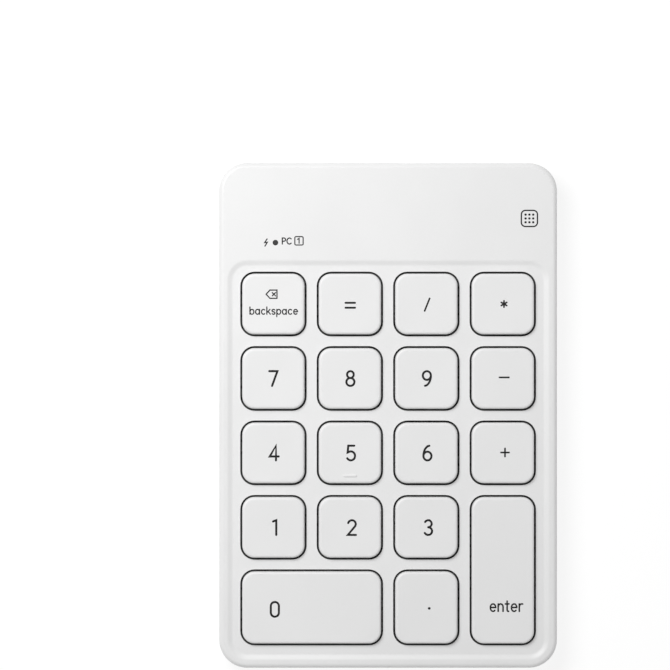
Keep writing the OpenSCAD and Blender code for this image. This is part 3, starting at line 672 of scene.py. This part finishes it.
def makeCap(key):
    shell, rect, height = Shell(), capRect(key), dishAt(key)
    draft, roundOff = capShape["draft"], capShape["edgeRound"]
    spacing = {"arc": 9, "side": 10}
    skin = [(0.16, skirt), (0.05, skirt + 0.04), (0, skirt + 0.16), (0.35 * draft, skirt + 1.2)]
    skin += quarterRound(roundOff, capTop, draft, 8)
    bottom, rim = shell.wall(rect, skin, **spacing)
    for inset in capShape["rings"]:
        edge = outline(rect, draft + roundOff + inset, **spacing)
        ring = shell.loop(edge, height)
        shell.bridge(rim, ring)
        rim = ring
    low = [min(p[k] for p in edge) for k in (0, 1)]
    wide, long = (max(p[k] for p in edge) - low[k] for k in (0, 1))
    cells = capShape["gridCells"]
    grid = [(low[0] + wide * i / cells, low[1] + long * j / cells)
        for i in range(1, cells) for j in range(1, cells)]
    shell.fill([rim], height, lambda x, y: True, extra=grid)
    wall = capShape["wall"]
    hollowRect = (rect[0], rect[1], rect[2] - wall, rect[3] - wall, capShape["innerCorner"])
    hollow = [(-0.08, skirt), (0, skirt + 0.08), (0, capUnder - 0.4)]
    hollow += [(0.12, capUnder - 0.12), (0.4, capUnder)]
    inner, roof = shell.wall(hollowRect, hollow, **spacing)
    shell.bridge(bottom, inner)
    shell.faces.append(tuple(roof))
    x, y = rect[0], rect[1]
    shell.lathe(x, y, [(1.25, capUnder - 0.45), (1.4, capUnder - 0.35), (1.5, capUnder + 0.1)], 28)
    for end, apart, slide in clipShape["rows"]:
        for cheek in (clipShape["cheek"], -clipShape["cheek"] - slide):
            for side in (-1, 1):
                px, py = x + end * clipShape["run"] + cheek, y + side * apart
                shell.block((px - 0.22, py - 0.3, clipShape["foot"]), (px + 0.22, py + 0.3, capUnder + 0.05))
    if key == "5":
        barRect = (rect[0], rect[1] - rect[3] + homingBar["inset"], homingBar["halfWidth"],
            homingBar["halfLength"], homingBar["corner"])
        steps = [(0, capTop - 0.15), (0, capTop + 0.02)]
        steps += quarterRound(0.16, capTop + homingBar["proud"])
        shell.slab(barRect, steps, arc=6, side=4)
    cap = shell.piece("cap_" + key, capWhite, sharp=50)
    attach(cap, "key_" + key)
    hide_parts("key_" + key)
    settleNormals(cap)


for key in keyNames:
    makeCap(key)
print("keys ready")

# the scissor links and domes between the plate and each cap
linkShape = {
    "run": 4.9,  # half the distance from pin to pin along the case
    "lowPin": 6.3,
    "highPin": 9.6,
    "pin": 0.4,  # radius
    "rail": 0.7,
    "thick": 0.7,
    "outerRail": 4.9,
    "innerRail": 3.85,
}
domeFlange = 0.35


# a link in its own plane: two rails joined by a pin across each end, with a boss at the middle
def linkFrame(railY, pinY, bossOut):
    frameShell, half = Shell(), linkShape["rail"] / 2
    rise = (linkShape["highPin"] - linkShape["lowPin"]) / 2
    reach, thick = math.hypot(linkShape["run"], rise), linkShape["thick"] / 2
    across = Matrix.Rotation(math.radians(90), 4, "X")
    for side in (-1, 1):
        y = side * railY
        frameShell.block((-reach - 0.1, y - half, -thick), (reach + 0.1, y + half, thick), 0.1)
        boss = Shell()
        ends = sorted((y - side * half, y + side * bossOut))
        rings = [(0.7, ends[0]), (0.8, ends[0] + 0.08), (0.8, ends[1] - 0.08), (0.7, ends[1])]
        boss.lathe(0, 0, [(r, -t) for r, t in rings], 20)
        frameShell.join(boss, across)
    for end in (-1, 1):
        pin = Shell()
        full, soft = linkShape["pin"], 0.12
        rings = [(full - soft, -pinY), (full, -pinY + soft), (full, pinY - soft), (full - soft, pinY)]
        pin.lathe(0, 0, rings, 18)
        frameShell.join(pin, Matrix.Translation((end * reach, 0, 0)) @ across)
    return frameShell


def makeLinks(key):
    x, y = capRect(key)[:2]
    middle = (linkShape["lowPin"] + linkShape["highPin"]) / 2
    lean = math.atan2(linkShape["highPin"] - linkShape["lowPin"], 2 * linkShape["run"])
    for name, frameShell, turn in (("outer", outerLink, -lean), ("inner", innerLink, lean)):
        place = Matrix.Translation((x, y, middle)) @ Matrix.Rotation(turn, 4, "Y")
        link = Shell()
        link.join(frameShell, place)
        piece = link.piece("link_%s_%s" % (name, key), linkPlastic)
        start, end = ((x * mm, y * mm, linkShape[level] * mm) for level in ("lowPin", "highPin"))
        "key_" + key
        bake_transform(piece)
        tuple(start)
        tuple(end)
        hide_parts("scissor_" + key)


def makeDome(key):
    x, y = capRect(key)[:2]
    foot, top = boxOf("rubber_domes")[0][2], boxOf("rubber_domes")[1][2]
    flange = foot + domeFlange
    profile = [(2.35, foot), (3.12, foot), (3.2, foot + 0.08), (3.2, flange - 0.1), (3.1, flange)]
    profile += [(2.85, flange + 0.12), (2.6, flange + 0.5), (2.2, flange + 1.5), (1.85, top - 1.1)]
    profile += [(1.66, top - 0.5), (1.58, top - 0.1), (1.45, top), (0.5, top), (0.3, top - 0.06)]
    profile += [(0.3, top - 0.9), (1.1, top - 1.0), (1.35, top - 1.3)]
    profile += [(1.9, flange + 1.2), (2.3, flange + 0.35), (2.35, flange)]
    dome = Shell()
    dome.lathe(x, y, profile, 36, bored=True)
    piece = dome.piece("dome_" + key, domeRubber, sharp=60)
    "key_" + key
    x * mm
    y * mm
    flange * mm
    x * mm
    y * mm
    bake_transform(piece)
    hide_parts("rubber_domes")


outerLink = linkFrame(linkShape["outerRail"], 6.0, 0.36)
innerLink = linkFrame(linkShape["innerRail"], 4.95, 0.5)
for key in keyNames:
    makeLinks(key)
    makeDome(key)
print("links and domes ready")

# the printed legends
inkLift = 0.012
digitShape = {"width": 2.0, "height": 3.65, "stroke": 0.53}


def arc(cx, cy, rx, ry, start, end, count=14):
    turns = [math.radians(start + (end - start) * k / count) for k in range(count + 1)]
    return [(cx + rx * math.cos(t), cy + ry * math.sin(t)) for t in turns]


# how far a point lies from a row of joined lines
def gapTo(line, x, y):
    best = 1e9
    for (x0, y0), (x1, y1) in zip(line, line[1:]):
        dx, dy = x1 - x0, y1 - y0
        size = dx * dx + dy * dy
        t = 0 if size == 0 else min(max(((x - x0) * dx + (y - y0) * dy) / size, 0), 1)
        best = min(best, math.hypot(x - x0 - t * dx, y - y0 - t * dy))
    return best


# the outline of a stroke drawn along a row of joined lines, with round ends
def strokeEdge(line, half):
    sides = [[], []]
    for index, (x, y) in enumerate(line):
        before, after = line[max(index - 1, 0)], line[min(index + 1, len(line) - 1)]
        first = Vector((x - before[0], y - before[1])).normalized()
        second = Vector((after[0] - x, after[1] - y)).normalized()
        first, second = first if first.length else second, second if second.length else first
        along = (first + second).normalized()
        reach = half / max(along.dot(first), 0.45)
        sides[0].append((x - along.y * reach, y + along.x * reach))
        sides[1].append((x + along.y * reach, y - along.x * reach))
    ends = []
    for (x, y), (nx, ny) in ((line[-1], line[-2]), (line[0], line[1])):
        facing = math.degrees(math.atan2(y - ny, x - nx))
        ends.append(arc(x, y, half, half, facing + 90, facing - 90, 8)[1:-1])
    return sides[0] + ends[0] + sides[1][::-1] + ends[1]


# strokes become one thin skin of ink lying on a surface
def inkShell(strokes, stroke, height):
    shell, half = Shell(), stroke / 2
    edges = [strokeEdge(line, half) for line in strokes]
    shell.fill([], lambda x, y: height(x, y) + inkLift,
        lambda x, y: any(gapTo(line, x, y) <= half * 0.999 for line in strokes), lines=edges)
    return shell


def moved(strokes, x=0.0, y=0.0, sx=1.0, sy=1.0):
    return [[(x + px * sx, y + py * sy) for px, py in line] for line in strokes]


# half the width and half the height of a digit
a, b = digitShape["width"] / 2, digitShape["height"] / 2
digits = {
    "0": [arc(0, b - a, a, a, 0, 180) + arc(0, a - b, a, a, 180, 360) + [(a, b - a)]],
    "1": [[(-0.5, b - 0.32), (0.3, b), (0.3, -b)]],
    "2": [arc(0, b - 0.95, 0.95, 0.95, 165, -38) + [(-a, -b), (a, -b)]],
    "3": [arc(-0.02, b - 0.87, 0.87, 0.87, 150, -90), arc(-0.02, 0.95 - b, 0.97, 0.95, 90, -150)],
    "4": [[(0.45, -b), (0.45, b), (-1.1, -0.85), (1.12, -0.85)]],
    "5": [[(0.8, b), (-0.68, b), (-0.85, 0.12)] + arc(-0.05, 1.12 - b, 1.05, 1.12, 128, -148)],
    "6": [arc(0, 1.08 - b, 1.0, 1.08, 0, 360, 22), arc(0.62, 1.08 - b, 1.62, 2.57, 180, 96)],
    "7": [[(-a, b), (a, b), (-0.32, -b)]],
    "8": [arc(0, b - 0.85, 0.83, 0.85, 0, 360, 20), arc(0, 0.98 - b, 1.0, 0.98, 0, 360, 22)],
}
digits["9"] = moved(digits["6"], sx=-1, sy=-1)

# small letters on a unit x height: advance, then strokes
letters = {
    "a": (1.12, [arc(0.47, 0.5, 0.43, 0.5, 0, 360, 18), [(0.9, 1.0), (0.9, 0.0)]]),
    "b": (1.1, [arc(0.5, 0.5, 0.43, 0.5, 0, 360, 18), [(0.07, 1.5), (0.07, 0.0)]]),
    "c": (1.02, [arc(0.5, 0.5, 0.43, 0.5, 48, 312, 14)]),
    "e": (1.1, [[(0.09, 0.52), (0.92, 0.52)] + arc(0.5, 0.5, 0.43, 0.5, 4, 312, 16)]),
    "k": (0.98, [[(0.07, 1.5), (0.07, 0.0)], [(0.78, 1.0), (0.09, 0.38)], [(0.33, 0.6), (0.84, 0.0)]]),
    "n": (1.04, [[(0.07, 1.0), (0.07, 0.0)], arc(0.46, 0.6, 0.39, 0.4, 180, 0, 10) + [(0.85, 0.0)]]),
    "p": (1.1, [arc(0.5, 0.5, 0.43, 0.5, 0, 360, 18), [(0.07, 1.0), (0.07, -0.5)]]),
    "r": (0.72, [[(0.07, 1.0), (0.07, 0.0)], arc(0.47, 0.58, 0.4, 0.42, 180, 72, 8)]),
    "s": (0.9, [arc(0.4, 0.75, 0.33, 0.25, 28, 270, 10)
        + arc(0.4, 0.25, 0.34, 0.25, 90, -152, 10)[1:]]),
    "t": (0.76, [[(0.3, 1.38), (0.3, 0.2)] + arc(0.5, 0.2, 0.2, 0.2, 180, 280, 6),
        [(0.02, 1.0), (0.6, 1.0)]]),
    "P": (1.0, [[(0.07, 0.0), (0.07, 1.5)] + arc(0.45, 1.1, 0.42, 0.4, 90, -90, 10) + [(0.07, 0.7)]]),
    "C": (1.2, [arc(0.65, 0.75, 0.6, 0.75, 45, 315, 16)]),
}


# a word of small letters, set to a width and a height of x, centred on a point
def word(text, x, y, width, xHeight, rise):
    placed, pen = [], 0.0
    for letter in text:
        advance, strokes = letters[letter]
        placed += moved(strokes, pen)
        pen += advance + 0.16
    low = min(p[0] for line in placed for p in line)
    high = max(p[0] for line in placed for p in line)
    across = width / (high - low)
    return moved(placed, x - width / 2 - low * across, y - rise * xHeight, across, xHeight)


def addInk(name, strokes, stroke, height, body, finish):
    piece = inkShell(strokes, stroke, height).piece(name, finish)
    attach(piece, body)


# line strokes for each sign, then how thick they are drawn
signs = {
    "slash": ([[(-0.62, -1.55), (0.62, 1.55)]], 0.42),
    "star": ([[(0.78 * end * math.cos(t), 0.78 * end * math.sin(t)) for end in (1, -1)]
        for t in (math.pi / 2, math.pi / 6, -math.pi / 6)], 0.42),
    "minus": ([[(-1.17, 0), (1.17, 0)]], 0.42),
    "plus": ([[(-1.0, 0), (1.0, 0)], [(0, -1.0), (0, 1.0)]], 0.42),
    "equals": ([[(-1.17, 0.61), (1.17, 0.61)], [(-1.17, -0.61), (1.17, -0.61)]], 0.5),
    "point": ([[(-0.02, 0), (0.02, 0)]], 0.65),
}
# where a sign isn't at its key's middle, and how far a digit stands to the right of it
legendPlaces = {
    "slash": (9.67, 27.53), "star": (28.75, 27.7), "minus": (28.8, 9.47), "plus": (29.0, -9.17),
    "equals": (-9.41, 27.38), "point": (10.19, -47.86), "0": (-28.13, -48.1),
}
nudge = {"1": 0.42, "2": 0.5, "3": 0.45, "4": 0.2, "5": 0.28, "6": 0.25, "8": 0.12, "9": 0.1}
for key in keyNames:
    x, y = legendPlaces.get(key, capRect(key)[:2])
    x += nudge.get(key, 0)
    if key in digits:
        strokes, stroke = digits[key], digitShape["stroke"]
    elif key in signs:
        strokes, stroke = signs[key]
    elif key == "enter":
        strokes, stroke, x, y = word("enter", 29.36, -47.45, 8.0, 1.85, 0.62), 0.4, 0, 0
    else:
        strokes, stroke, x, y = word("backspace", -28.4, 25.75, 11.8, 1.2, 0.5), 0.3, 0, 0
        left, right, low, high = -30.3, -27.6, 29.1, 31.15
        body = [(right, low), (left + 0.95, low), (left, (low + high) / 2), (left + 0.95, high),
            (right, high), (right, low)]
        cross = [[(-28.75, 29.72), (-27.95, 30.52)], [(-28.75, 30.52), (-27.95, 29.72)]]
        strokes = strokes + [body] + cross
    addInk("legend_" + key, moved(strokes, x, y), stroke, dishAt(key), "key_" + key, ink)

channelBox = outline((-22.15, 43.4, 1.03, 1.04, 0.3), arc=4, side=2)
onDeck = [
    ("mark_power", [[(-30.08, 43.85), (-30.68, 42.95), (-30.02, 43.05), (-30.6, 42.1)]], 0.3),
    ("mark_host", word("PC", -25.19, 43.35, 2.2, 1.0, 0.75), 0.3),
    ("mark_channel", [channelBox + channelBox[:1],
        [(-22.5, 43.75), (-22.12, 44.0), (-22.12, 42.8)]], 0.28),
]
for name, strokes, stroke in onDeck:
    addInk(name, strokes, stroke, deckHeight, "case", deckInk)

# a plain pad of nine dots in a rounded square
emblem = {"x": 35.1, "y": 48.96, "size": 4.0, "corner": 1.0, "line": 0.34, "dot": 0.56}
ring = outline((emblem["x"], emblem["y"], emblem["size"] / 2, emblem["size"] / 2, emblem["corner"]),
    arc=6, side=2)
addInk("emblem_frame", [ring + ring[:1]], emblem["line"], deckHeight, "case", deckInk)
dots = [[(emblem["x"] + i - 0.02, emblem["y"] + j), (emblem["x"] + i + 0.02, emblem["y"] + j)]
    for i in (-0.95, 0, 0.95) for j in (-0.95, 0, 0.95)]
addInk("emblem_dots", dots, emblem["dot"], deckHeight, "case", deckInk)
print("legends ready")

# the carried-over parts: a finish each, and a small rounding of their edges
partFinish = {
    "bottom_cover": (underWhite, 0.12), "base_plate": (plateSteel, 0.03),
    "membrane": (filmWithGapShade, 0.0), "membrane_clamp": (clampBlack, 0.06),
    "stabilizer_enter": (springWire, 0.0), "stabilizer_0": (springWire, 0.0),
    "circuit_board": (lacquer, 0.03), "controller_chip": (chipBlack, 0.05),
    "board_parts": (smallParts, 0.05), "charge_socket_shell": (platedSteel, 0.04),
    "charge_socket_tongue": (tongueBlack, 0.05), "power_switch_body": (platedSteel, 0.06),
    "power_switch_slider": (switchBlack, 0.1), "status_led": (lampBody, 0.08),
    "indicator_window": (lens, 0.04), "battery_cell": (foil, 0.25), "battery_tape": (amberTape, 0.0),
    "battery_leads": (leadRed, 0.0), "receiver_shell": (stickWhite, 0.15),
    "receiver_plug": (platedSteel, 0.05), "case_screws": (screwSteel, 0.04),
    "rubber_feet": (footRubber, 0.12),
}
for node, (finish, edge) in partFinish.items():
    part = bpy.data.objects[node]
    if not part.data.materials:
        part.data.materials.append(finish)
    for holder in part.material_slots:
        holder.link = "OBJECT"
        holder.material = finish
    if edge:
        weld = part.modifiers.new("weld", "WELD")
        weld.merge_threshold = 1e-7
        bevel = part.modifiers.new("bevel", "BEVEL")
        bevel.width, bevel.segments, bevel.limit_method = edge * mm, 2, "ANGLE"
        bevel.angle_limit, bevel.harden_normals = math.radians(40), False
        bevel.use_clamp_overlap = True
        settleNormals(part)
print("parts finished")

# camera, light and floor
studio = {
    "height": 1.2,  # of the camera above the surface
    "across": 0.1663,  # width of the view at the level of the keys
    "middle": (-0.0132, 0.0200),
    "lampPlace": (-0.16, 0.18, 0.40),
    "lampSize": 0.28,
    "lampPower": 1.55,
    "sky": 0.42,
}
lensFit = bpy.data.cameras.new("topView")
lensFit.sensor_width = 36
lensFit.lens = 36 * (studio["height"] - capTop * mm) / studio["across"]
lensFit.dof.use_dof = False
camera = bpy.data.objects.new("topView", lensFit)
camera.location = (studio["middle"][0], studio["middle"][1], studio["height"])
bpy.context.scene.collection.objects.link(camera)
bpy.context.scene.camera = camera

lampData = bpy.data.lights.new("softBox", "AREA")
lampData.shape, lampData.size, lampData.energy = "DISK", studio["lampSize"], studio["lampPower"]
lamp = bpy.data.objects.new("softBox", lampData)
lamp.location = studio["lampPlace"]
lamp.rotation_euler = (-Vector(studio["lampPlace"])).to_track_quat("-Z", "Y").to_euler()
bpy.context.scene.collection.objects.link(lamp)

sky = bpy.data.worlds.new("paleRoom")
sky.use_nodes = True
backdrop = next(n for n in sky.node_tree.nodes if n.type == "BACKGROUND")
backdrop.inputs["Color"].default_value = (1.0, 1.0, 1.0, 1.0)
backdrop.inputs["Strength"].default_value = studio["sky"]
bpy.context.scene.world = sky
bpy.context.scene.view_settings.view_transform = "Standard"

paper = Sheet("paper", Roughness=0.9, Specular_IOR_Level=0.1, Emission_Strength=1.0)
paper.to("Base Color", paper.mix(paper.noise(30, 2), grey(0.22), grey(0.205)))
paper.to("Emission Color", paper.mix(paper.noise(30, 2), grey(0.8), grey(0.82)))
floorShell = Shell()
floorShell.slab((0, 0, 1500, 1500, 60), [(4, -6), (0, -5), (0, -0.6), (0.6, 0)], arc=6, side=1)
tableTop = floorShell.piece("tableTop", paper.material)
print("studio ready")
